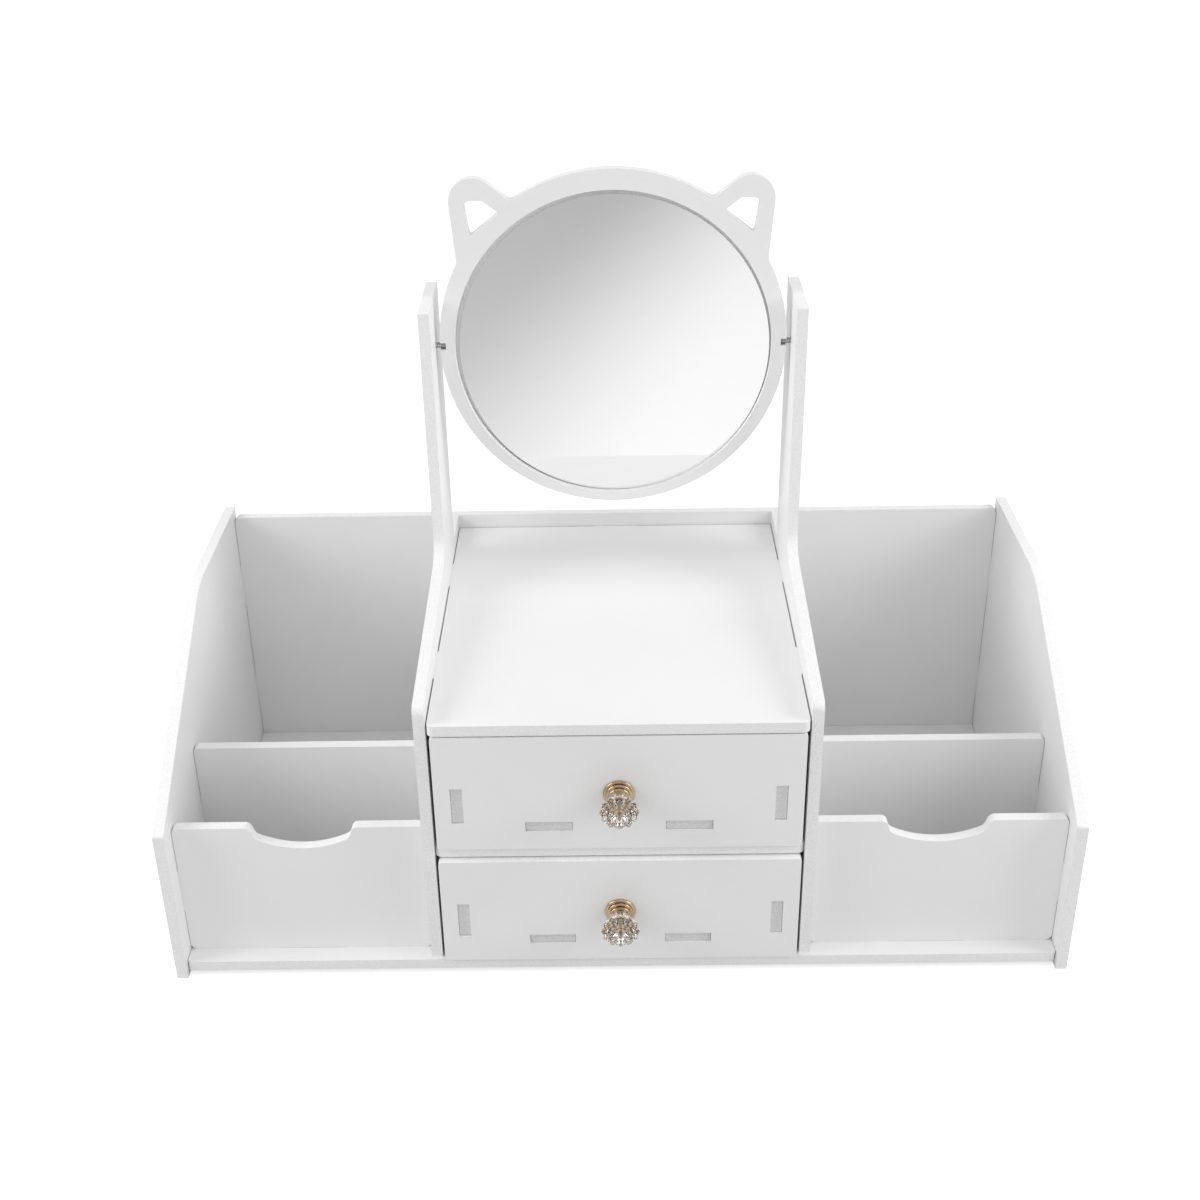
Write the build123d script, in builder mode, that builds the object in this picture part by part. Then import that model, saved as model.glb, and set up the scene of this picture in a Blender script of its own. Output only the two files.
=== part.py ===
from build123d import *
import os
from math import cos, hypot, radians, sin

# Frame: X to the viewer's right, Y to the back, Z up, all in millimetres.
# Depths are written from the side panels' front edge, and mid_y moves them to the middle.

# Sheet material and its joints
board = 5.0
fit = 0.1
seam = 0.2
tab_short = 0.3
tab_reach = board - tab_short
tab_root = 1.0
upright_tab = 22.5
flat_tab = 23.0
edge_tab_heights = (36.5, 98.8)
corner_round = 3.0
small_round = 2.0

# Whole body
half_width = 200.0
inner_x = half_width - board
inner_free_x = inner_x - seam
depth = 193.0
back_face = depth - board
back_free = back_face - seam

# Back panel, which the other heights follow
back_height = 139.0

# Side panels
side_front_height = 78.5
side_height = back_height + 4.0
shoulder_y = 109.0
shoulder_round = 45.0
side_nose_round = 1.5

# Base board
base_bottom = 3.0
base_top = base_bottom + board
base_front = 1.5
base_side_tab_places = (34.0, 96.5, 159.0)
base_rear_tab_places = (-125.0, 0.0, 125.0)

# Dividers, which carry the mirror's posts
bay_x = 80.0
divider_x = bay_x + board
bay_free_x = bay_x - seam
bin_free_x = divider_x + seam
divider_front = 3.65
divider_front_height = back_height + 0.6
divider_rise = 0.11
divider_nose_round = 3.8
divider_foot_places = (45.0, 147.0)
post_front = 118.0
post_rear = 160.0
post_front_height = back_height + 131.0
post_rear_height = post_front_height + 1.0
post_front_round = 11.0
post_tip_round = 0.8
post_rear_round = 3.0

# Top panel and drawer shelf
top_bottom = back_height - 12.0
top_front = 2.0
shelf_bottom = top_bottom / 2
shelf_front = 4.0
deck_tab_places = (52.0, 136.3)
deck_rear_tab = 22.0

# Bins
bin_mid_x = (divider_x + inner_x) / 2
bin_foot_tab = 30.0
partition_face = 59.5
partition_height = 84.0
partition_tab = (32.0, 56.0)
bin_front_face = 10.5
bin_front_height = 75.0
bin_front_tab = (30.0, 52.0)
notch_x = 138.5
notch_top_half = 22.6
notch_floor_half = 20.9
notch_shoulder_z = 69.3
notch_floor_z = 64.0
notch_floor_round = 4.0

# Drawers
run_gap = 0.45
head_gap = 0.6
drawer_side_gap = 1.5
front_half = bay_x - drawer_side_gap
front_round = 1.5
box_outer_x = 71.4
box_inner_x = box_outer_x - board
box_height = 45.0
box_slot = (13.4, 31.5)
box_short = 1.2
floor_low = 9.0
floor_tab_x = 30.0
floor_tab = 20.0
floor_side_tab_places = (0.28, 0.72)
box_rear_gap = 0.5
box_rear = back_face - box_rear_gap
upper_face = 2.0
lower_face = 0.5
upper_low = shelf_bottom + board + run_gap
upper_high = top_bottom - head_gap
lower_low = base_top + run_gap
lower_high = shelf_bottom - head_gap

# Knobs: each step is radius and distance of its end from the drawer front
knob_steps = ((6.8, 1.6), (5.9, 3.1), (5.0, 4.6), (4.0, 6.2))
stem_radius = 2.6
stem_end = 12.2
stem_clearance = 0.05
crystal_start = 6.2
crystal_girdle = 13.8
crystal_belt = 0.3
crystal_end = 16.0
crystal_neck_radius = 4.4
crystal_radius = 8.6
crystal_valley = 0.86
crystal_table_radius = 3.4
crystal_lobes = 12
knob_screw_radius = 2.0
knob_screw_reach = 8.0
knob_bore_spare = 0.7
knob_screw_head = 3.6
knob_screw_head_height = 2.4
thread_clearance = 0.05

# Mirror
pivot_y = 139.0
pivot_z = post_front_height - 22.0
ring_radius = 78.0
ring_rise = 0.7
rim_tolerance = 0.01
hole_radius = 71.3
hole_drop = -1.7
ear_tip = (60.2, 64.9)
ear_radius = 10.4
ear_outer_foot = (68.05, 37.0)
ear_inner_foot = (40.5, 62.0)
ear_foot_radius = 0.3
ear_outer_valley = 6.0
ear_inner_valley = 2.5
ear_hole = ((64.3, 65.6), (56.0, 65.6), (48.9, 60.2), (62.1, 49.9))
ear_hole_rounds = (2.6, 3.0, 0.9, 0.9)
notch_half = 1.6
notch_start = 75.4
glass_recess = 3.0
glass_thickness = board - glass_recess
glass_radius = 69.9
glass_centre = (0.6, hole_drop - 1.1)
plate_radius = 75.4
plate_thickness = 3.0

# Pivot screws
screw_radius = 1.5
screw_run = 0.05
screw_head_radius = 2.75
screw_head_sunk = 0.1
screw_cone_angle = 90.0
screw_tip = 72.9
screw_bore_end = 72.5

# Middle of the overall depth, with the lower knob as the foremost point
mid_y = (lower_face - crystal_end + depth) / 2


def side_plane(x):
    return Plane(origin=(x, -mid_y, 0), x_dir=(0, 1, 0), z_dir=(1, 0, 0))


def front_plane(y):
    return Plane(origin=(0, y - mid_y, 0), x_dir=(1, 0, 0), z_dir=(0, -1, 0))


def level_plane(z):
    return Plane(origin=(0, -mid_y, z), x_dir=(1, 0, 0), z_dir=(0, 0, 1))


def corners(sketch, *places):
    return [sketch.vertices().sort_by_distance((*place, 0))[0] for place in places]


def tabs_on_upright_edge(edge, side, places, size, reach=tab_reach):
    with Locations(*[(edge + side * (reach - tab_root) / 2, place) for place in places]):
        Rectangle(reach + tab_root, size)


def tabs_on_level_edge(edge, side, places, size, reach=tab_reach):
    with Locations(*[(place, edge + side * (reach - tab_root) / 2) for place in places]):
        Rectangle(size, reach + tab_root)


def slots(places, wide, tall):
    with Locations(*places):
        Rectangle(wide + 2 * fit, tall + 2 * fit, mode=Mode.SUBTRACT)


def middle(span):
    return (span[0] + span[1]) / 2


def length(span):
    return span[1] - span[0]


def save(piece, name):
    piece.part.label = name
    export_step(piece.part, f"parts/{name}.step")


# Side panels: slanted front, soft shoulder, slots for every board that meets them
def side_panel(x):
    with BuildPart() as panel:
        with BuildSketch(side_plane(x)) as outline:
            with BuildLine():
                Polyline(
                    (0, 0),
                    (0, side_front_height),
                    (shoulder_y, side_height),
                    (depth, side_height),
                    (depth, 0),
                    close=True,
                )
            make_face()
            fillet(corners(outline, (shoulder_y, side_height)), shoulder_round)
            fillet(corners(outline, (0, side_front_height)), side_nose_round)
            slots([(y, base_bottom + board / 2) for y in base_side_tab_places], flat_tab, board)
            slots([(bin_front_face + board / 2, middle(bin_front_tab))], board, length(bin_front_tab))
            slots([(partition_face + board / 2, middle(partition_tab))], board, length(partition_tab))
            notches = [(back_face + board / 2 + board, z) for z in edge_tab_heights]
            slots(notches, 3 * board, upright_tab)
        extrude(amount=board)
    return panel


left_side_panel = side_panel(-half_width)
save(left_side_panel, "left_side_panel")
right_side_panel = side_panel(inner_x)
save(right_side_panel, "right_side_panel")

# Base board: floor of bins and cabinet
with BuildPart() as base_board:
    with BuildSketch(level_plane(base_bottom)) as outline:
        with Locations((0, (base_front + back_free) / 2)):
            Rectangle(2 * inner_free_x, back_free - base_front)
        fillet(corners(outline, (-inner_free_x, base_front), (inner_free_x, base_front)), small_round)
        for side in (-1, 1):
            tabs_on_upright_edge(side * inner_x, side, base_side_tab_places, flat_tab)
        tabs_on_level_edge(back_face, 1, base_rear_tab_places, flat_tab)
        for side in (-1, 1):
            divider_mid = side * (bay_x + board / 2)
            slots([(divider_mid, y) for y in divider_foot_places], board, flat_tab)
            slots([(side * bin_mid_x, partition_face + board / 2)], bin_foot_tab, board)
            slots([(side * bin_mid_x, bin_front_face + board / 2)], bin_foot_tab, board)
    extrude(amount=board)
save(base_board, "base_board")

# Back panel: tabs into the side panels, slots for dividers, decks and base
with BuildPart() as back_panel:
    with BuildSketch(front_plane(back_face)) as outline:
        with Locations((0, back_height / 2)):
            Rectangle(2 * inner_free_x, back_height)
        tops = [(side * inner_free_x, back_height) for side in (-1, 1)]
        fillet(corners(outline, *tops), corner_round)
        for side in (-1, 1):
            tabs_on_upright_edge(side * inner_x, side, edge_tab_heights, upright_tab)
            divider_mid = side * (bay_x + board / 2)
            slots([(divider_mid, z) for z in edge_tab_heights], board, upright_tab)
        slots([(x, base_bottom + board / 2) for x in base_rear_tab_places], flat_tab, board)
        slots([(0, low + board / 2) for low in (top_bottom, shelf_bottom)], deck_rear_tab, board)
    extrude(amount=-board)
save(back_panel, "back_panel")


# Dividers: cabinet wall and mirror post cut from one board
def divider(side):
    post_foot = divider_front_height + divider_rise * (post_front - divider_front)
    with BuildPart() as wall:
        with BuildSketch(side_plane(min(side * bay_x, side * divider_x))) as outline:
            with BuildLine():
                Polyline(
                    (divider_front, base_top),
                    (divider_front, divider_front_height),
                    (post_front, post_foot),
                    (post_front, post_front_height),
                    (post_rear, post_rear_height),
                    (post_rear, back_height),
                    (back_face, back_height),
                    (back_face, base_top),
                    close=True,
                )
            make_face()
            fillet(corners(outline, (divider_front, divider_front_height)), divider_nose_round)
            fillet(corners(outline, (post_front, post_foot)), post_front_round)
            tips = corners(outline, (post_front, post_front_height), (post_rear, post_rear_height))
            fillet(tips, post_tip_round)
            fillet(corners(outline, (post_rear, back_height)), post_rear_round)
            tabs_on_level_edge(base_top, -1, divider_foot_places, flat_tab)
            tabs_on_upright_edge(back_face, 1, edge_tab_heights, upright_tab)
            for low in (top_bottom, shelf_bottom):
                slots([(y, low + board / 2) for y in deck_tab_places], flat_tab, board)
            slots([(bin_front_face + board / 2, middle(bin_front_tab))], board, length(bin_front_tab))
            slots([(partition_face + board / 2, middle(partition_tab))], board, length(partition_tab))
        extrude(amount=board)
        outer = Plane(origin=(side * divider_x, pivot_y - mid_y, pivot_z), z_dir=(side, 0, 0))
        with Locations(outer):
            CounterSinkHole(
                radius=screw_radius + screw_run,
                counter_sink_radius=screw_head_radius + screw_head_sunk + screw_run,
                counter_sink_angle=screw_cone_angle,
            )
    return wall


left_divider = divider(-1)
save(left_divider, "left_divider")
right_divider = divider(1)
save(right_divider, "right_divider")


# Decks between the dividers: the top panel and the shelf under the upper drawer
def deck(low, front):
    with BuildPart() as panel:
        with BuildSketch(level_plane(low)) as outline:
            with Locations((0, (front + back_free) / 2)):
                Rectangle(2 * bay_free_x, back_free - front)
            fillet(corners(outline, (-bay_free_x, front), (bay_free_x, front)), corner_round)
            for side in (-1, 1):
                tabs_on_upright_edge(side * bay_x, side, deck_tab_places, flat_tab)
            tabs_on_level_edge(back_face, 1, [0], deck_rear_tab)
        extrude(amount=board)
    return panel


top_panel = deck(top_bottom, top_front)
save(top_panel, "top_panel")
drawer_shelf = deck(shelf_bottom, shelf_front)
save(drawer_shelf, "drawer_shelf")


# Partitions between the front and the rear bins
def partition(side):
    with BuildPart() as wall:
        with BuildSketch(front_plane(partition_face)) as outline:
            with Locations((side * bin_mid_x, (base_top + partition_height) / 2)):
                Rectangle(inner_free_x - bin_free_x, partition_height - base_top)
            tops = [(side * x, partition_height) for x in (bin_free_x, inner_free_x)]
            fillet(corners(outline, *tops), small_round)
            height = [middle(partition_tab)]
            tabs_on_upright_edge(side * inner_x, side, height, length(partition_tab))
            tabs_on_upright_edge(side * divider_x, -side, height, length(partition_tab))
            tabs_on_level_edge(base_top, -1, [side * bin_mid_x], bin_foot_tab)
        extrude(amount=-board)
    return wall


left_partition = partition(-1)
save(left_partition, "left_partition")
right_partition = partition(1)
save(right_partition, "right_partition")


# Front panels of the bins, each with a finger notch in its top edge
def bin_front(side):
    with BuildPart() as wall:
        with BuildSketch(front_plane(bin_front_face)) as outline:
            with Locations((side * bin_mid_x, (base_top + bin_front_height) / 2)):
                Rectangle(inner_free_x - bin_free_x, bin_front_height - base_top)
            tops = [(side * x, bin_front_height) for x in (bin_free_x, inner_free_x)]
            fillet(corners(outline, *tops), small_round)
            feet = [(side * x, base_top) for x in (bin_free_x, inner_free_x)]
            fillet(corners(outline, *feet), corner_round)
            middle_x = side * notch_x
            rim = [(middle_x + half, bin_front_height) for half in (-notch_top_half, notch_top_half)]
            bend = [(middle_x + half, notch_shoulder_z) for half in (-notch_floor_half, notch_floor_half)]
            with BuildLine():
                ThreePointArc(bend[0], (middle_x, notch_floor_z), bend[1])
                Polyline(bend[1], rim[1], rim[0], bend[0])
            make_face(mode=Mode.SUBTRACT)
            fillet(corners(outline, *bend), notch_floor_round)
            fillet(corners(outline, *rim), corner_round)
            height = [middle(bin_front_tab)]
            tabs_on_upright_edge(side * inner_x, side, height, length(bin_front_tab))
            tabs_on_upright_edge(side * divider_x, -side, height, length(bin_front_tab))
            tabs_on_level_edge(base_top, -1, [side * bin_mid_x], bin_foot_tab)
        extrude(amount=-board)
    return wall


left_front_panel = bin_front(-1)
save(left_front_panel, "left_front_panel")
right_front_panel = bin_front(1)
save(right_front_panel, "right_front_panel")


# Drawer boards
def box_slots(low):
    for side in (-1, 1):
        slots([(side * (box_outer_x - board / 2), low + middle(box_slot))], board, length(box_slot))
        slots([(side * floor_tab_x, low + floor_low + board / 2)], floor_tab, board)


def drawer_front(face, low, high):
    with BuildPart() as wall:
        with BuildSketch(front_plane(face)) as outline:
            with Locations((0, (low + high) / 2)):
                Rectangle(2 * front_half, high - low)
            fillet(outline.vertices(), front_round)
            box_slots(low)
            with Locations((0, (low + high) / 2)):
                Circle(knob_screw_radius + fit, mode=Mode.SUBTRACT)
        extrude(amount=-board)
    return wall


def drawer_back(low):
    with BuildPart() as wall:
        with BuildSketch(front_plane(box_rear - board)) as outline:
            with Locations((0, low + box_height / 2)):
                Rectangle(2 * front_half, box_height)
            box_slots(low)
        extrude(amount=-board)
    return wall


def floor_side_tabs(face):
    start = face + board
    run = box_rear - board - start
    return [start + share * run for share in floor_side_tab_places]


def drawer_side(face, low, side):
    start, end = face + board, box_rear - board
    reach = board - box_short
    with BuildPart() as wall:
        with BuildSketch(side_plane(min(side * box_inner_x, side * box_outer_x))):
            with Locations(((start + end) / 2, low + box_height / 2)):
                Rectangle(end - start, box_height)
            tabs_on_upright_edge(start, -1, [low + middle(box_slot)], length(box_slot), reach)
            tabs_on_upright_edge(end, 1, [low + middle(box_slot)], length(box_slot), reach)
            slots([(y, low + floor_low + board / 2) for y in floor_side_tabs(face)], flat_tab, board)
        extrude(amount=board)
    return wall


def drawer_bottom(face, low):
    start, end = face + board, box_rear - board
    reach = board - box_short
    with BuildPart() as floor:
        with BuildSketch(level_plane(low + floor_low)):
            with Locations((0, (start + end) / 2)):
                Rectangle(2 * box_inner_x, end - start)
            tabs_on_level_edge(start, -1, [-floor_tab_x, floor_tab_x], floor_tab, reach)
            tabs_on_level_edge(end, 1, [-floor_tab_x, floor_tab_x], floor_tab, reach)
            for side in (-1, 1):
                tabs_on_upright_edge(side * box_inner_x, side, floor_side_tabs(face), flat_tab)
        extrude(amount=board)
    return floor


# Knobs: a stepped metal foot with a stem, a cut crystal over it, a screw from inside the drawer
def knob_plane(face, height, distance=0.0):
    return Plane(origin=(0, face - distance - mid_y, height), x_dir=(1, 0, 0), z_dir=(0, -1, 0))


def knob_flange(face, height):
    with BuildPart() as foot:
        with BuildSketch(Plane(knob_plane(face, height).origin, x_dir=(1, 0, 0), z_dir=(0, 0, 1))):
            with BuildLine():
                points = [(0, 0)]
                start = 0.0
                for radius, end in knob_steps:
                    points += [(radius, -start), (radius, -end)]
                    start = end
                points += [(stem_radius, -crystal_start), (stem_radius, -stem_end), (0, -stem_end)]
                Polyline(*points, close=True)
            make_face()
        revolve(axis=Axis((0, face - mid_y, height), (0, -1, 0)))
        with BuildSketch(knob_plane(face, height)):
            Circle(knob_screw_radius + thread_clearance)
        extrude(amount=knob_screw_reach + knob_bore_spare, mode=Mode.SUBTRACT)
    return foot


def star(radius):
    step = 360 / crystal_lobes
    points = []
    for lobe in range(crystal_lobes):
        points.append(Vector(radius, 0).rotate(Axis.Z, lobe * step))
        points.append(Vector(radius * crystal_valley, 0).rotate(Axis.Z, (lobe + 0.5) * step))
    return points


# How far a side of the star lies inwards of the side of a smaller star
def star_inset(small, large):
    half_step = radians(180 / crystal_lobes)
    valley_x = crystal_valley * cos(half_step)
    valley_y = crystal_valley * sin(half_step)
    return (large - small) * valley_y / hypot(1 - valley_x, valley_y)


# The head is a straight star, and its front and back are ground off to flat facets
def knob_crystal(face, height):
    with BuildPart() as crystal:
        with BuildSketch(knob_plane(face, height, crystal_start)):
            with BuildLine():
                Polyline(*star(crystal_radius), close=True)
            make_face()
        extrude(amount=crystal_end - crystal_start)
        ends = crystal.faces().filter_by(Axis.Y).sort_by(Axis.Y)
        grinds = (
            (ends[0], crystal_end - crystal_girdle, crystal_table_radius),
            (ends[-1], crystal_girdle - crystal_start - crystal_belt, crystal_neck_radius),
        )
        for end, along, small in grinds:
            inset = star_inset(small, crystal_radius)
            chamfer(end.edges(), inset, along, reference=end)
        with BuildSketch(knob_plane(face, height, crystal_start)):
            Circle(stem_radius + stem_clearance)
        extrude(amount=stem_end - crystal_start + stem_clearance, mode=Mode.SUBTRACT)
    return crystal


def knob_screw(face, height):
    with BuildPart() as screw:
        with BuildSketch(knob_plane(face + board, height)):
            Circle(knob_screw_radius)
        extrude(amount=board + knob_screw_reach)
        with BuildSketch(knob_plane(face + board, height)):
            Circle(knob_screw_head)
        extrude(amount=-knob_screw_head_height)
    return screw


drawers = {
    "upper": (upper_face, upper_low, upper_high),
    "lower": (lower_face, lower_low, lower_high),
}
for row, (face, low, high) in drawers.items():
    height = (low + high) / 2
    save(drawer_front(face, low, high), f"{row}_drawer_front")
    save(drawer_back(low), f"{row}_drawer_back")
    save(drawer_side(face, low, -1), f"{row}_drawer_left_side")
    save(drawer_side(face, low, 1), f"{row}_drawer_right_side")
    save(drawer_bottom(face, low), f"{row}_drawer_bottom")
    save(knob_flange(face, height), f"{row}_knob_flange")
    save(knob_crystal(face, height), f"{row}_knob_crystal")
    save(knob_screw(face, height), f"{row}_knob_screw")

# Mirror ring with two ears, cut from one board
mirror_front = pivot_y - board / 2
mirror_rear = pivot_y + board / 2


def mirror_plane(y):
    return Plane(origin=(0, y - mid_y, pivot_z), x_dir=(1, 0, 0), z_dir=(0, -1, 0))


def ear_joint(vertex):
    on_rim = abs(hypot(vertex.X, vertex.Y - ring_rise) - ring_radius) < rim_tolerance
    return on_rim and vertex.Y > ring_radius / 4


with BuildPart() as mirror_ring:
    with BuildSketch(mirror_plane(mirror_front)) as outline:
        with Locations((0, ring_rise)):
            Circle(ring_radius)
        for side in (-1, 1):
            with BuildSketch(mode=Mode.PRIVATE) as ear:
                with Locations((side * ear_tip[0], ear_tip[1])):
                    Circle(ear_radius)
                for foot in (ear_outer_foot, ear_inner_foot):
                    with Locations((side * foot[0], foot[1])):
                        Circle(ear_foot_radius)
                make_hull()
            add(ear.sketch)
        fillet([v for v in outline.vertices() if ear_joint(v) and abs(v.X) > ear_tip[0]], ear_outer_valley)
        fillet([v for v in outline.vertices() if ear_joint(v) and abs(v.X) < ear_tip[0]], ear_inner_valley)
        for side in (-1, 1):
            with BuildSketch(mode=Mode.PRIVATE) as window:
                points = [(side * x, z) for x, z in ear_hole]
                with BuildLine():
                    Polyline(*points, close=True)
                make_face()
                for point, size in zip(points, ear_hole_rounds):
                    fillet(corners(window, point), size)
            add(window.sketch, mode=Mode.SUBTRACT)
        with Locations((0, hole_drop)):
            Circle(hole_radius, mode=Mode.SUBTRACT)
    extrude(amount=-board)
    # Small notch that shows the pivot screw, open to the front and to the rim
    with BuildSketch(mirror_plane(mirror_front)):
        for side in (-1, 1):
            with Locations((side * (notch_start + ring_radius + 1) / 2, 0)):
                Rectangle(ring_radius + 1 - notch_start, 2 * notch_half)
    extrude(amount=-(board / 2 + notch_half), mode=Mode.SUBTRACT)
    # Blind bores the pivot screws bite into
    for side in (-1, 1):
        mouth = Plane(origin=(side * notch_start, pivot_y - mid_y, pivot_z), z_dir=(side, 0, 0))
        with BuildSketch(mouth):
            Circle(screw_radius + screw_run)
        extrude(amount=-(notch_start - screw_bore_end), mode=Mode.SUBTRACT)
save(mirror_ring, "mirror_ring")

# Silvered glass that lies in the ring's hole, a little smaller than the hole and low in it
with BuildPart() as mirror_glass:
    with BuildSketch(mirror_plane(mirror_front + glass_recess)):
        with Locations(glass_centre):
            Circle(glass_radius)
    extrude(amount=-glass_thickness)
save(mirror_glass, "mirror_glass")

# Back plate that closes the hole and carries the glass
with BuildPart() as mirror_back_plate:
    with BuildSketch(mirror_plane(mirror_rear)):
        with Locations((0, hole_drop)):
            Circle(plate_radius)
    extrude(amount=-plate_thickness)
save(mirror_back_plate, "mirror_back_plate")


# Pivot screws: countersunk flush in the posts, through to the ring's edge
def pivot_screw(side):
    head_face = divider_x - screw_head_sunk
    cone_end = head_face - (screw_head_radius - screw_radius)
    with BuildPart() as screw:
        with BuildSketch(Plane(origin=(0, pivot_y - mid_y, pivot_z), x_dir=(1, 0, 0), z_dir=(0, -1, 0))):
            with BuildLine():
                Polyline(
                    (side * head_face, 0),
                    (side * head_face, screw_head_radius),
                    (side * cone_end, screw_radius),
                    (side * screw_tip, screw_radius),
                    (side * screw_tip, 0),
                    close=True,
                )
            make_face()
        revolve(axis=Axis((0, pivot_y - mid_y, pivot_z), (1, 0, 0)))
    return screw


left_pivot_screw = pivot_screw(-1)
save(left_pivot_screw, "left_pivot_screw")
right_pivot_screw = pivot_screw(1)
save(right_pivot_screw, "right_pivot_screw")
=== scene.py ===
# %% [markdown]
# # A makeup organizer with a tilting mirror
# The object is a flat-pack: white boards cut to shape and slotted together, two drawers with cut
# crystal knobs, and a round mirror that turns between two posts. The boards, the glass and the
# metal parts arrive as finished solids in one shared frame. This lesson dresses them: it rounds
# their edges, gives each material its own surface, draws the few pieces that need finer detail
# again, and lights and frames the picture.

from math import cos, pi, radians, sin

import bmesh
import bpy
from mathutils import Matrix, Vector


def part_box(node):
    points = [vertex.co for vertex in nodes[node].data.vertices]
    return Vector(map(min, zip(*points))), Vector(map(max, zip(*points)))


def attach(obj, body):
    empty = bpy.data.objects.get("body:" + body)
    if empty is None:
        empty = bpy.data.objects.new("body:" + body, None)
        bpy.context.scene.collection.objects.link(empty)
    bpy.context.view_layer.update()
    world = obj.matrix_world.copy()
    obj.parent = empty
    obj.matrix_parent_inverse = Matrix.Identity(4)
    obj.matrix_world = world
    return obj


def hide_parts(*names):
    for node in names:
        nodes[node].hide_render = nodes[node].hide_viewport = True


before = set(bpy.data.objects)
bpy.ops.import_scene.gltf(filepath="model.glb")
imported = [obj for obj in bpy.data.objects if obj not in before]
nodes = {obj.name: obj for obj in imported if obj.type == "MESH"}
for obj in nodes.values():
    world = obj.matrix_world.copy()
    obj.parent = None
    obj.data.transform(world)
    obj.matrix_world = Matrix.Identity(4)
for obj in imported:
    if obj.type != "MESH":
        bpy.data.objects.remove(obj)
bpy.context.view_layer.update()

# %% [markdown]
# ## A way to write materials
# A material in Blender is a small graph of nodes. Writing it by hand for every finish takes many
# lines, so a short helper class adds a node, sets its sockets and links them. A socket that gets
# another node's output is linked, and a socket that gets a number or a colour is set.

# %% Helper for material graphs


class Finish:
    """A material with a principled surface, and short ways to add nodes to it."""

    def __init__(self, name, **settings):
        self.material = bpy.data.materials.new(name)
        self.material.use_nodes = True
        self.tree = self.material.node_tree
        self.surface = self.tree.nodes["Principled BSDF"]
        self.set(self.surface, **settings)

    def put(self, socket, value):
        """Link a socket to another node's output, or give it a plain number or colour."""
        if isinstance(value, bpy.types.NodeSocket):
            self.tree.links.new(value, socket)
        else:
            socket.default_value = value

    def set(self, node, **sockets):
        for name, value in sockets.items():
            self.put(node.inputs[name], value)
        return node

    def add(self, kind, settings=None, **sockets):
        node = self.tree.nodes.new("ShaderNode" + kind)
        for name, value in (settings or {}).items():
            setattr(node, name, value)
        return self.set(node, **sockets)

    def place(self):
        return self.add("TexCoord").outputs["Object"]

    def noise(self, scale, detail=2.0, **sockets):
        sockets = {"Vector": self.place(), "Scale": scale, "Detail": detail, **sockets}
        return self.add("TexNoise", **sockets).outputs["Fac"]

    def between(self, value, low, high, out_low=0.0, out_high=1.0, smooth=False):
        """Stretch a range of values to another one, with the ends held."""
        node = self.add("MapRange", {"interpolation_type": "SMOOTHSTEP" if smooth else "LINEAR"})
        for socket, number in zip(node.inputs, (value, low, high, out_low, out_high)):
            self.put(socket, number)
        return node.outputs[0]

    def math(self, operation, *values):
        node = self.add("Math", {"operation": operation})
        for socket, value in zip(node.inputs, values):
            self.put(socket, value)
        return node.outputs[0]

    def blend(self, data_type, numbered, output):
        """A Mix node keeps a set of sockets for each type of value, so they go by number."""
        node = self.add("Mix", {"data_type": data_type})
        for index, value in numbered.items():
            self.put(node.inputs[index], value)
        return node.outputs[output]

    def mix(self, share, first, second):
        return self.blend("RGBA", {0: share, 6: first, 7: second}, 2)

    def mix_number(self, share, first, second):
        return self.blend("FLOAT", {0: share, 2: first, 3: second}, 0)

    def bump(self, height, distance, strength=1.0, below=None):
        sockets = {"Height": height, "Distance": distance, "Strength": strength}
        if below is not None:
            sockets["Normal"] = below
        return self.add("Bump", **sockets).outputs["Normal"]


def grey(level):
    return (level, level, level, 1.0)


# %% [markdown]
# ## The white board
# The boards are foamed plastic sheet. Their faces are pressed smooth and satin, with a very fine
# orange peel. Where the cutter went through, the foam lies open: a cut edge is rougher, a touch
# whiter and full of tiny cells. One material can show both, because the face of a board is the
# side that looks along the board's own normal. So each board's material compares the surface
# normal with that axis and mixes the two finishes. The ends of the drawers' tabs sit recessed in
# the drawer fronts, so the drawers' inner boards get greyer cut edges: painted shade of those
# recesses.

# %% Board material, one for each way a board can face
board_white, board_shade = grey(0.89), grey(0.87)
cut_white, cut_shade = grey(0.94), grey(0.86)
# Painted shade: greyer cut-edge colours for the drawers' inner boards, standing for their recessed
# tab ends.
recess_shaded_cut_pale, recess_shaded_cut_dark = grey(0.80), grey(0.70)
cut_roughness = 0.78
plastic_ior = 1.46
peel_depth = 0.00003
cell_depth = 0.00022


def board_finish(name, axis, cut_light, cut_dark):
    """White board that faces along one axis; whatever looks aside is a cut edge."""
    finish = Finish(name, IOR=plastic_ior)
    normal = finish.add("SeparateXYZ", Vector=finish.add("TexCoord").outputs["Normal"])
    along = finish.math("ABSOLUTE", normal.outputs[axis])
    cut = finish.between(along, 0.55, 0.85, 1.0, 0.0, smooth=True)

    clouds = finish.between(finish.noise(14.0, 3.0), 0.35, 0.65)
    face_colour = finish.mix(clouds, board_white, board_shade)
    cells = finish.noise(1500.0, 3.0, Roughness=0.65)
    open_cells = finish.between(cells, 0.36, 0.6)
    cut_colour = finish.mix(open_cells, cut_dark, cut_light)
    colour = finish.mix(cut, face_colour, cut_colour)

    face_rough = finish.between(finish.noise(55.0, 4.0), 0.3, 0.7, 0.40, 0.48)
    rough = finish.mix_number(cut, face_rough, cut_roughness)

    peel = finish.bump(finish.noise(650.0, 2.0), peel_depth, 0.35)
    saw_marks = finish.noise(420.0, 4.0)
    depth = finish.math("MULTIPLY", finish.math("ADD", cells, saw_marks), cut)
    shaped = finish.bump(depth, cell_depth, 0.9, below=peel)
    finish.set(finish.surface, Roughness=rough, Normal=shaped, **{"Base Color": colour})
    return finish.material


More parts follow.
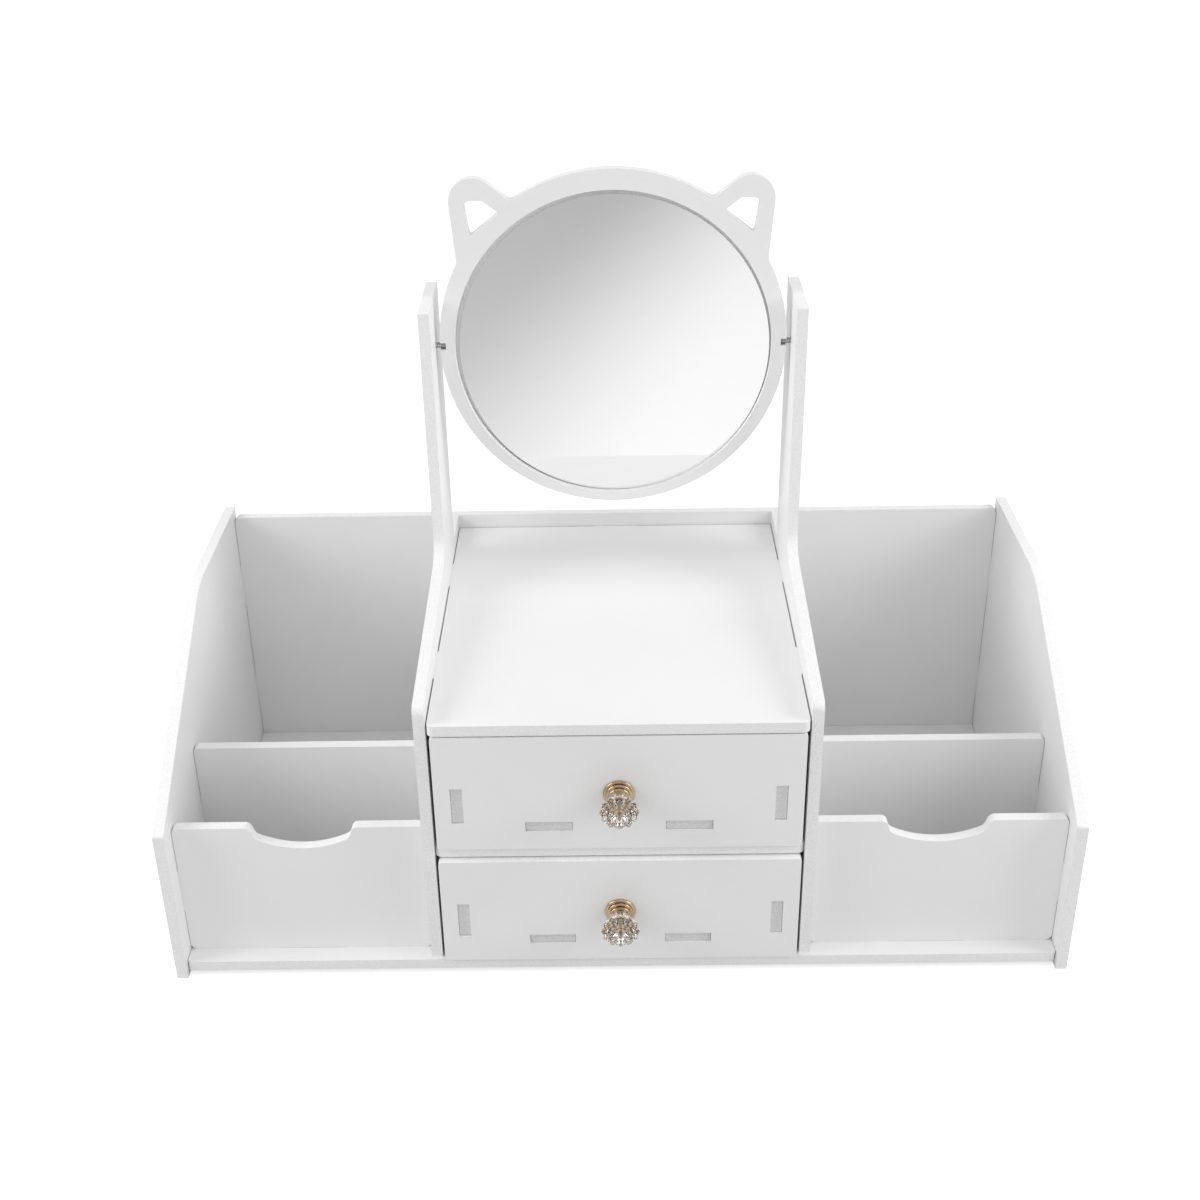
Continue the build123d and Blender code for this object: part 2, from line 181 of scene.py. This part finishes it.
board_materials = {}
recess_shaded_drawer_materials = {}
for axis in "XYZ":
    small = axis.lower()
    board_materials[axis] = board_finish("white_board_" + small, axis, cut_white, cut_shade)
    recess_shaded_drawer_materials[axis] = board_finish("drawer_board_recess_shade_" + small, axis, recess_shaded_cut_pale, recess_shaded_cut_dark)
print("board materials:", len(board_materials) + len(recess_shaded_drawer_materials))

# %% [markdown]
# ## Dressing the boards
# A real cut board never has a knife-sharp corner: the arris is broken by about a quarter of a
# millimetre, and that thin soft line is what catches the light and makes every seam readable. The
# solids come split along their sharp edges, so a weld joins them first and a bevel then rounds
# only the edges that turn by more than thirty degrees.

# %% Which way each board faces
rows = ("upper", "lower")
board_axes = {
    "X": ["left_side_panel", "right_side_panel", "left_divider", "right_divider"],
    "Y": ["back_panel", "left_partition", "right_partition", "mirror_ring"],
    "Z": ["base_board", "top_panel", "drawer_shelf"],
}
board_axes["Y"] += ["left_front_panel", "right_front_panel"]
for row in rows:
    board_axes["X"] += [row + "_drawer_left_side", row + "_drawer_right_side"]
    board_axes["Y"] += [row + "_drawer_front", row + "_drawer_back"]
    board_axes["Z"] += [row + "_drawer_bottom"]
print("boards by axis:", {axis: len(names) for axis, names in board_axes.items()})

# %% Soft edges and material for every board
arris = 0.00025
arris_angle = radians(30.0)
weld_distance = 0.000005


def soften(piece, width=arris):
    weld = piece.modifiers.new("weld", "WELD")
    weld.merge_threshold = weld_distance
    bevel = piece.modifiers.new("arris", "BEVEL")
    bevel.width = width
    bevel.segments = 2
    bevel.limit_method = "ANGLE"
    bevel.angle_limit = arris_angle
    bevel.harden_normals = True


def dress(piece, material):
    piece.data.materials.clear()
    piece.data.materials.append(material)


for axis, names in board_axes.items():
    for name in names:
        # Drawer boards other than the fronts take the greyer cut colours of painted recess shade.
        inside = "_drawer_" in name and not name.endswith("_front")
        dress(nodes[name], (recess_shaded_drawer_materials if inside else board_materials)[axis])
        soften(nodes[name])
print("boards dressed:", sum(len(names) for names in board_axes.values()))

# %% [markdown]
# ## A way to add pieces
# Pieces drawn in code all end the same way: their faces are turned outwards, they get a material,
# they ride on the body that carries them, and they stand for the solid they replace.

# %% Turn a built mesh into a piece of the object


def new_piece(name, build, material, body, replaced, crease=None):
    mesh = bpy.data.meshes.new(name)
    bmesh.ops.recalc_face_normals(build, faces=build.faces)
    build.to_mesh(mesh)
    build.free()
    if crease is not None:
        for face in mesh.polygons:
            face.use_smooth = True
        mesh.set_sharp_from_angle(angle=radians(crease))
    piece = bpy.data.objects.new(name, mesh)
    bpy.context.scene.collection.objects.link(piece)
    dress(piece, material)
    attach(piece, body)
    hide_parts(replaced)
    print(name, len(mesh.polygons), "faces")
    return piece


# %% [markdown]
# ## The top panel and its seams
# Between its tabs the top panel stays a little clear of the walls, and from above these seams read
# as thin dark lines, widest at the front corners. The panel is drawn again here as one flat outline
# with its tabs, a few tenths of a millimetre narrower than its bay, and thickened to the board.

# %% Measure the bay and set the seams
panel_low, panel_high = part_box("top_panel")
bay_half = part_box("right_divider")[0].x
front_y = panel_low.y
rear_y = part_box("back_panel")[0].y
tab_end_x = panel_high.x
front_seam, rear_seam = 0.00055, 0.00035
corner = 0.003
corner_steps = 6
tab_half = 0.0115
rear_tab_half = 0.011
tab_places = (front_y + 0.05, front_y + 0.1343)
panel_arris = 0.00018
print("bay:", round(2 * bay_half, 4), "wide,", round(rear_y - front_y, 4), "deep")


def panel_half(y):
    """Half the panel's width at a place between its front and its rear edge."""
    share = (y - front_y) / (rear_y - front_y)
    return bay_half - front_seam + (front_seam - rear_seam) * share


# %% Draw the top panel
right_edge = []
for step in range(corner_steps + 1):
    turn = pi / 2 * step / corner_steps
    x = bay_half - front_seam - corner + corner * sin(turn)
    right_edge.append((x, front_y + corner - corner * cos(turn)))
for place in tab_places:
    start, end = place - tab_half, place + tab_half
    right_edge += [(panel_half(start), start), (tab_end_x, start)]
    right_edge += [(tab_end_x, end), (panel_half(end), end)]
right_edge.append((panel_half(rear_y), rear_y - rear_seam))
rear_tab = [(rear_tab_half, rear_y - rear_seam), (rear_tab_half, panel_high.y)]
half_outline = right_edge + rear_tab
outline = half_outline + [(-x, y) for x, y in reversed(half_outline)]

build = bmesh.new()
flat = build.faces.new([build.verts.new((x, y, panel_low.z)) for x, y in outline])
raised = bmesh.ops.extrude_face_region(build, geom=[flat])
lifted = [part for part in raised["geom"] if isinstance(part, bmesh.types.BMVert)]
thickness = Vector((0, 0, panel_high.z - panel_low.z))
bmesh.ops.translate(build, vec=thickness, verts=lifted)
roof_material = board_materials["Z"]
roof = new_piece("seamed_top_panel", build, roof_material, "carcass", "top_panel")
soften(roof, panel_arris)

# %% [markdown]
# ## Mirror glass and its back plate
# The mirror is a disc of clear glass with silver behind it. A plain metallic surface with almost
# no roughness reflects as silver does. The faintest waviness keeps it from looking computed. The
# plate behind it is moulded plastic, with soft clouds of tone and a fine peel.

# %% Mirror and plate
mirror = Finish("silvered_glass", Metallic=1.0, **{"Base Color": grey(0.937)})
mirror_rough = mirror.between(mirror.noise(30.0, 3.0), 0.3, 0.7, 0.008, 0.02)
mirror_wave = mirror.bump(mirror.noise(9.0, 1.0), 0.00002, 0.2)
mirror.set(mirror.surface, Roughness=mirror_rough, Normal=mirror_wave)
dress(nodes["mirror_glass"], mirror.material)

plate_white, plate_shade = grey(0.89), grey(0.81)
plate_arris = 0.0003
plate = Finish("moulded_plate", IOR=plastic_ior)
plate_clouds = plate.between(plate.noise(25.0, 3.0), 0.3, 0.7)
plate_colour = plate.mix(plate_clouds, plate_white, plate_shade)
plate_rough = plate.between(plate.noise(80.0, 3.0), 0.3, 0.7, 0.36, 0.46)
plate_peel = plate.bump(plate.noise(900.0, 2.0), peel_depth, 0.4)
plate.set(plate.surface, Roughness=plate_rough, Normal=plate_peel, **{"Base Color": plate_colour})
dress(nodes["mirror_back_plate"], plate.material)
soften(nodes["mirror_back_plate"], plate_arris)
print("dressed: mirror_glass, mirror_back_plate")

# %% [markdown]
# ## Knob metal and screws
# The knob's foot is turned zinc with a champagne gold coat, and a nearly brown finish in its
# grooves paints the shade and dark reflections there. The screws are zinc plated steel. All three
# are metals with slow changes of tone, and they differ in colour, roughness and the size of their
# marks, so one function makes them all.

# %% Metal finishes


def metal_finish(name, tone_scale, colours, rough_scale, rough_range, marks=None):
    """A metal whose tone and roughness wander; marks = (scale, depth, strength) of its bump."""
    metal = Finish(name, Metallic=1.0)
    tone = metal.between(metal.noise(tone_scale, 3.0), 0.3, 0.7)
    rough = metal.between(metal.noise(rough_scale, 3.0), 0.3, 0.7, *rough_range)
    metal.set(metal.surface, Roughness=rough, **{"Base Color": metal.mix(tone, *colours)})
    if marks is not None:
        scale, depth, strength = marks
        metal.set(metal.surface, Normal=metal.bump(metal.noise(scale, 2.0), depth, strength))
    return metal.material


champagne = ((0.52, 0.41, 0.29, 1.0), (0.40, 0.29, 0.19, 1.0))
# Painted shade and reflection: the dark brown given to the groove faces of the knob feet.
painted_groove_shade = ((0.08, 0.045, 0.022, 1.0), (0.045, 0.025, 0.012, 1.0))
zinc = (grey(0.58), grey(0.44))
gilt_marks = (1500.0, 0.00001, 0.3)
steel_marks = (2200.0, 0.00002, 0.4)
gilt = metal_finish("champagne_gold", 180.0, champagne, 600.0, (0.10, 0.2), gilt_marks)
groove = metal_finish("groove_painted_shade", 300.0, painted_groove_shade, 300.0, (0.25, 0.4))
steel = metal_finish("zinc_steel", 400.0, zinc, 900.0, (0.2, 0.36), steel_marks)
print("metals:", gilt.name, groove.name, steel.name)

# %% [markdown]
# ## Turned knob feet
# The foot of each knob was turned on a lathe: three rounded beads that get smaller away from the
# drawer, a collar, and a thin stem that goes up inside the crystal. A lathe shape is a profile
# spun about an axis, so the code lists the beads and lets a small function round each one. Between
# two beads it dips into a groove, and those faces get a dark brown finish: painted shade and dark
# reflections where the metal mirrors itself.

# %% The profile, as (way out from the drawer, radius) in millimetres
mm = 0.001
round_steps = 64


def bead(start, end, low, high, steps=8):
    points = []
    for step in range(steps + 1):
        angle = pi * step / steps
        out = start + (end - start) * (1 - cos(angle)) / 2
        points.append((out, low + (high - low) * sin(angle) ** 0.6))
    return points


seat = [(0.0, 3.0), (0.0, 6.4)]
beads = bead(0.05, 1.4, 5.7, 6.8) + bead(1.7, 2.95, 4.6, 5.9) + bead(3.25, 4.45, 3.6, 5.0)
collar = [(4.75, 3.3), (5.2, 3.35), (5.7, 3.7), (6.05, 3.98), (6.18, 3.9), (6.2, 2.6)]
stem = [(11.9, 2.6), (12.15, 2.35), (12.2, 0.8)]
foot_profile = seat + beads + collar + stem
groove_start, groove_end = 1.0, 5.0
steepness = 4.0
print("foot profile:", len(foot_profile), "points,", foot_profile[-1][0], "mm long")


def in_groove(first, second):
    """True for the steep flanks and the level floors between two beads."""
    reach = second[0] - first[0]
    rise = abs(second[1] - first[1])
    between_beads = groove_start < first[0] < groove_end
    return between_beads and (rise > steepness * reach or rise < 0.01)


# %% Spin the profile about a knob's axis


def knob_axis(row):
    low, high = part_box(row + "_knob_flange")
    return Vector(((low.x + high.x) / 2, high.y, (low.z + high.z) / 2))


def around(centre, out, radii):
    """Points round a knob's axis, one for each radius, all the same way out from the drawer."""
    points = []
    for step, radius in enumerate(radii):
        turn = 2 * pi * step / len(radii)
        points.append(centre + Vector((radius * cos(turn), -out, radius * sin(turn))) * mm)
    return points


def add_ring(build, points):
    return [build.verts.new(point) for point in points]


def join_rings(build, first, second):
    made = []
    for step in range(len(first)):
        after = (step + 1) % len(first)
        corners = (first[step], first[after], second[after], second[step])
        made.append(build.faces.new(corners))
    return made


for row in rows:
    centre = knob_axis(row)
    build = bmesh.new()
    rings = [
        add_ring(build, around(centre, out, [radius] * round_steps))
        for out, radius in foot_profile
    ]
    for place, (first, second) in enumerate(zip(rings, rings[1:])):
        made = join_rings(build, first, second)
        # Groove faces take the dark brown of painted shade and reflection.
        brown = in_groove(foot_profile[place], foot_profile[place + 1])
        for face in made:
            face.material_index = 1 if brown else 0
    build.faces.new(rings[0])
    build.faces.new(rings[-1])
    drawer, foot = row + "_drawer", row + "_knob_flange"
    piece = new_piece(row + "_turned_foot", build, gilt, drawer, foot, crease=50)
    piece.data.materials.append(groove)

# %% [markdown]
# ## Cut crystal heads
# Each head is cut like a flower of twelve petals. Long pleats open from the neck to the widest
# ring, the front is ground back in short facets to a small round table, and a dimple is pressed in
# its middle. All of these are flat facets between rings of points, so the mesh is built ring by
# ring and shaded flat. The stem sits in a bore, which is part of the same closed surface.
#
# Inside a real cut head, light bounces between the pleats many times before it comes out, so each
# petal looks dark and smoky between bright thin lines. A few bounces don't give that depth, so the
# finish paints that shade into the colour: it darkens the petals by their angle about the knob's
# axis, and the middle of the dimple as well.

# %% Clear finish with petals darkened by painted shade
petals = 12
clear_tint = (0.98, 0.98, 0.98, 1.0)
# Painted shade: the brown-grey that darkens the petals and the dimple's middle.
petal_shade_tint = (0.40, 0.34, 0.29, 1.0)
acrylic_ior = 1.49


def crystal_finish(row, centre):
    head = Finish(row + "_crystal_clear", IOR=acrylic_ior, **{"Transmission Weight": 1.0})
    parts = head.add("SeparateXYZ", Vector=head.place())
    across = head.math("SUBTRACT", parts.outputs["X"], centre.x)
    rise = head.math("SUBTRACT", parts.outputs["Z"], centre.z)
    turn = head.math("ARCTAN2", rise, across)
    across_squared = head.math("MULTIPLY", across, across)
    rise_squared = head.math("MULTIPLY", rise, rise)
    reach = head.math("SQRT", head.math("ADD", across_squared, rise_squared))

    wave = head.math("COSINE", head.math("MULTIPLY", turn, float(petals)))
    petal = head.between(wave, -0.5, 0.3, smooth=True)
    inner = head.between(reach, 2.3 * mm, 2.9 * mm)
    outer = head.between(reach, 6.4 * mm, 8.4 * mm, 1.0, 0.25)
    dimple = head.between(reach, 0.9 * mm, 1.4 * mm, 1.0, 0.0)
    # Painted shade: petals and the dimple's middle are darkened towards the brown-grey tint.
    painted_petal_shade = head.math("MULTIPLY", petal, head.math("MULTIPLY", inner, outer))
    painted_petal_shade = head.math("MAXIMUM", painted_petal_shade, dimple)
    rough = head.between(head.noise(700.0, 2.0), 0.3, 0.7, 0.0, 0.02)
    tint = head.mix(painted_petal_shade, clear_tint, petal_shade_tint)
    head.set(head.surface, Roughness=rough, **{"Base Color": tint})
    return head.material


# %% Petals, table and bore of the crystal, as (way out, radius at a petal, radius at a valley)
crystal_rings = (
    (6.2, 2.66, 2.66),
    (6.2, 4.4, 3.9),
    (9.6, 6.6, 5.3),
    (12.9, 8.45, 7.2),
    (13.5, 8.6, 7.45),
    (14.0, 8.4, 7.4),
    (15.1, 5.6, 6.1),
    (16.0, 3.4, 3.3),
    (15.7, 2.2, 2.2),
    (15.35, 1.1, 1.1),
)
bore_depth = 6.05 * mm

for row in rows:
    centre = knob_axis(row)
    build = bmesh.new()
    rings = [
        add_ring(build, around(centre, out, [at_petal, at_valley] * petals))
        for out, at_petal, at_valley in crystal_rings
    ]
    for first, second in zip(rings, rings[1:]):
        join_rings(build, first, second)
    build.faces.new(rings[-1])
    bore_end = add_ring(build, [corner.co - Vector((0, bore_depth, 0)) for corner in rings[0]])
    join_rings(build, bore_end, rings[0])
    build.faces.new(bore_end)
    for face in list(build.faces):
        if len(face.verts) == 4:
            bmesh.ops.triangulate(build, faces=[face])
    clear = crystal_finish(row, centre)
    drawer, head = row + "_drawer", row + "_knob_crystal"
    new_piece(row + "_cut_crystal", build, clear, drawer, head)

# %% [markdown]
# ## Screws with real threads
# Two steel screws carry the mirror and one holds each knob. The thread is a ridge that climbs one
# pitch per turn. If every point of a fine tube moves out or in with its angle and its place along
# the axis, the ridge winds round by itself. The cross recess is a dip in the head made the same way.

# %% Thread and recess
screw_steps = 32
rings_per_turn = 8
head_shares = (0.9, 0.8, 0.7, 0.6, 0.5, 0.42, 0.34, 0.26, 0.18, 0.1)


def thread_ridge(along, turn, pitch, depth):
    phase = (along / pitch - turn / (2 * pi)) % 1.0
    return -depth * abs(2 * phase - 1)


def recess_depth(u, v, arm, half, deep):
    """How deep the cross is at a point of the head; it slopes in from its rim."""
    inside = max(min(arm - abs(u), half - abs(v)), min(arm - abs(v), half - abs(u)))
    return deep * min(max(inside / (half * 0.6), 0.0), 1.0)


def screw_rings(thread, neck, head):
    """Every ring of a screw as (place along it, radius, depth of thread), all in millimetres."""
    radius, threaded, pitch, depth = thread
    lead_in, run_out = 0.5, 0.9
    run = threaded - run_out
    count = int(rings_per_turn * run / pitch)
    found = [(0.0, radius * 0.55, 0.0), (0.35, radius - depth, 0.0)]
    found += [(lead_in + run * step / count, radius, depth) for step in range(count + 1)]
    found += [(along, wide, 0.0) for along, wide in neck + head]
    face_at, face_wide = head[-1]
    return found + [(face_at, face_wide * share, 0.0) for share in head_shares]


# %% Screw builder


def screw_piece(name, tip, heading, thread, neck, head, recess, body, replaced):
    """tip in metres; thread = (radius, length, pitch, depth); these and the rest in millimetres."""
    pitch = thread[2]
    aside = heading.orthogonal().normalized()
    above = heading.cross(aside)
    found = screw_rings(thread, neck, head)
    recess_start = len(found) - len(head_shares)
    build = bmesh.new()
    rings = []
    for place, (along, wide, cut) in enumerate(found):
        points = []
        for step in range(screw_steps):
            turn = 2 * pi * step / screw_steps
            out = wide + (thread_ridge(along, turn, pitch, cut) if cut else 0.0)
            u, v = out * cos(turn), out * sin(turn)
            dip = recess_depth(u, v, *recess) if place >= recess_start else 0.0
            points.append(tip + (heading * (along - dip) + aside * u + above * v) * mm)
        rings.append(add_ring(build, points))
    for first, second in zip(rings, rings[1:]):
        join_rings(build, first, second)
    build.faces.new(rings[0])
    build.faces.new(rings[-1])
    return new_piece(name, build, steel, body, replaced, crease=40)


# %% The two pivot screws of the mirror
for side, way in (("left", -1), ("right", 1)):
    node = side + "_pivot_screw"
    low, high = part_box(node)
    tip = Vector((high.x if way < 0 else low.x, (low.y + high.y) / 2, (low.z + high.z) / 2))
    long = (high.x - low.x) / mm
    thread = (1.5, long - 1.3, 0.9, 0.36)
    neck = [(long - 1.3, 1.5)]
    head = [(long - 0.1, 2.7), (long - 0.04, 2.74), (long, 2.68)]
    recess = (1.5, 0.42, 0.9)
    heading = Vector((way, 0, 0))
    name = side + "_threaded_pivot"
    screw_piece(name, tip, heading, thread, neck, head, recess, "mirror", node)

# %% The two knob screws
for row in rows:
    node = row + "_knob_screw"
    low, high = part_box(node)
    tip = Vector(((low.x + high.x) / 2, low.y, (low.z + high.z) / 2))
    long = (high.y - low.y) / mm
    thread = (2.0, long - 2.4, 0.7, 0.3)
    neck = [(long - 2.4, 2.0), (long - 2.4, 3.4)]
    head = [(long - 2.2, 3.6), (long - 1.2, 3.55), (long - 0.5, 3.1)]
    head += [(long - 0.1, 2.3), (long, 1.9)]
    recess = (1.7, 0.5, 1.2)
    heading = Vector((0, 1, 0))
    name = row + "_threaded_screw"
    screw_piece(name, tip, heading, thread, neck, head, recess, row + "_drawer", node)

# %% [markdown]
# ## The floor
# The organizer stands on a wide white sheet. The camera should see it as plain white with only
# the object's soft shadow on it, while the lamps stay at a level that is right for the object. So
# for rays from the camera, and for rays seen through clear plastic, the sheet adds a plain white
# of its own, and its lit part keeps the shadow. For rays from the mirror the sheet glows as well,
# white near the object and greyer towards one far side: painted light that stands for the
# studio's light falling off, as the mirror shows it.

# %% A flat sheet that belongs to the studio


def stage_sheet(name, wide, tall, material):
    build = bmesh.new()
    corners = ((-1, -1), (1, -1), (1, 1), (-1, 1))
    build.faces.new([build.verts.new((x * wide / 2, y * tall / 2, 0.0)) for x, y in corners])
    mesh = bpy.data.meshes.new(name)
    build.to_mesh(mesh)
    build.free()
    flat = bpy.data.objects.new(name, mesh)
    bpy.context.scene.collection.objects.link(flat)
    dress(flat, material)
    return flat


# %% Floor sheet
floor_size = 12.0
floor_own_light = 0.68
floor_mirror_light = 0.42
slant = 3.4
dim_end, bright_end = -1.2, -0.25

sheet = Finish("white_sheet", Roughness=0.9)
path = sheet.add("LightPath").outputs
direct = sheet.math("MAXIMUM", path["Is Camera Ray"], path["Is Transmission Ray"])
direct_light = sheet.math("MULTIPLY", direct, floor_own_light)
where = sheet.add("SeparateXYZ", Vector=sheet.place()).outputs
# Painted light: a glow seen only in the mirror, fading towards one far side.
reach = sheet.math("MULTIPLY_ADD", where["X"], slant, where["Y"])
tone = sheet.between(reach, dim_end, bright_end, smooth=True)
mirrored_light = sheet.math("MULTIPLY", path["Is Glossy Ray"], floor_mirror_light)
own = sheet.math("MAXIMUM", direct_light, sheet.math("MULTIPLY", mirrored_light, tone))
grain = sheet.between(sheet.noise(40.0, 3.0), 0.3, 0.7)
sheet_colour = sheet.mix(grain, grey(0.585), grey(0.575))
sheet.set(sheet.surface, **{"Base Color": sheet_colour, "Specular IOR Level": 0.0})
sheet.set(sheet.surface, **{"Emission Color": grey(1.0), "Emission Strength": own})
floor = stage_sheet("floor", floor_size, floor_size, sheet.material)
print("floor:", floor_size, "m wide")

# %% [markdown]
# ## The room
# An even pale room lifts the insides of the bins and makes the level boards brighter than the
# upright ones. For rays from the camera, in metal and through clear plastic, it is plain white.

# %% World
room_light = 0.73
white = 1.0
world = bpy.data.worlds.new("studio")
bpy.context.scene.world = world
world.use_nodes = True
room = world.node_tree
backdrop = room.nodes["Background"]
backdrop.inputs["Color"].default_value = grey(white)
ray = room.nodes.new("ShaderNodeLightPath").outputs


def larger(first, second):
    node = room.nodes.new("ShaderNodeMath")
    node.operation = "MAXIMUM"
    room.links.new(first, node.inputs[0])
    room.links.new(second, node.inputs[1])
    return node.outputs[0]


shown = larger(ray["Is Camera Ray"], larger(ray["Is Glossy Ray"], ray["Is Transmission Ray"]))
level = room.nodes.new("ShaderNodeMapRange")
level.inputs["To Min"].default_value = room_light
level.inputs["To Max"].default_value = white
room.links.new(shown, level.inputs["Value"])
room.links.new(level.outputs[0], backdrop.inputs["Strength"])
print("room light:", room_light)

# %% [markdown]
# ## Softboxes and dark cards
# Two round softboxes, one at each side and a little in front, light the ring, the posts and the
# upper parts of the inner walls. Dark cards hang high at both sides and above the camera. Only
# metal and clear plastic see them, as the dark lines that give polished things their shape.

# %% Hang the lamps and the cards
lamp_size = 0.7
lamp_power = 5.0
lamp_aim = (0.0, 0.02, 0.12)
card_aim = (0.0, 0.0, 0.1)


def hang(thing, place, aim):
    """Put a lamp or a card in its place and turn it towards a point."""
    thing.location = place
    thing.rotation_mode = "QUATERNION"
    thing.rotation_quaternion = (Vector(aim) - Vector(place)).to_track_quat("-Z", "Y")


card = Finish("dark_card", Roughness=0.9, **{"Base Color": grey(0.03)})
for name, place, wide, tall in (
    ("left_card", (-0.5, -0.5, 0.95), 0.22, 0.9),
    ("right_card", (0.5, -0.5, 0.95), 0.22, 0.9),
    ("camera_card", (0.0, -1.0, 1.0), 0.9, 0.25),
):
    hung = stage_sheet(name, wide, tall, card.material)
    hang(hung, place, card_aim)
    for kind in ("camera", "diffuse", "shadow"):
        setattr(hung, "visible_" + kind, False)

for name, across in (("left_softbox", -1.0), ("right_softbox", 1.0)):
    lamp = bpy.data.lights.new(name, "AREA")
    lamp.shape = "DISK"
    lamp.size = lamp_size
    lamp.energy = lamp_power
    holder = bpy.data.objects.new(name, lamp)
    bpy.context.scene.collection.objects.link(holder)
    hang(holder, (across, -0.25, 0.7), lamp_aim)
    print(name, lamp_power, "W")

# %% [markdown]
# ## Camera
# The picture is taken from in front and above, looking down at about 29 degrees. The place and
# the turns below were found by matching the corners of the boards with those in the photograph.

# %% Camera
camera_place = Vector((-0.00174, -0.63966, 0.49439))
camera_yaw = -0.0089
camera_down = 0.5022
camera_roll = -0.0167
camera_lens = 48.06

level_ahead = Vector((sin(camera_yaw), cos(camera_yaw), 0.0))
level_right = Vector((cos(camera_yaw), -sin(camera_yaw), 0.0))
ahead = level_ahead * cos(camera_down) - Vector((0.0, 0.0, sin(camera_down)))
level_up = level_right.cross(ahead)
right = level_right * cos(camera_roll) + level_up * sin(camera_roll)
up = level_up * cos(camera_roll) - level_right * sin(camera_roll)
camera_data = bpy.data.cameras.new("camera")
camera_data.sensor_width = 36.0
camera_data.lens = camera_lens
camera = bpy.data.objects.new("camera", camera_data)
bpy.context.scene.collection.objects.link(camera)
facing = Matrix((right, up, -ahead)).transposed().to_4x4()
camera.matrix_world = Matrix.Translation(camera_place) @ facing
bpy.context.scene.camera = camera
bpy.context.scene.view_settings.view_transform = "Standard"
print("camera at", tuple(round(v, 3) for v in camera_place), "lens", camera_lens)
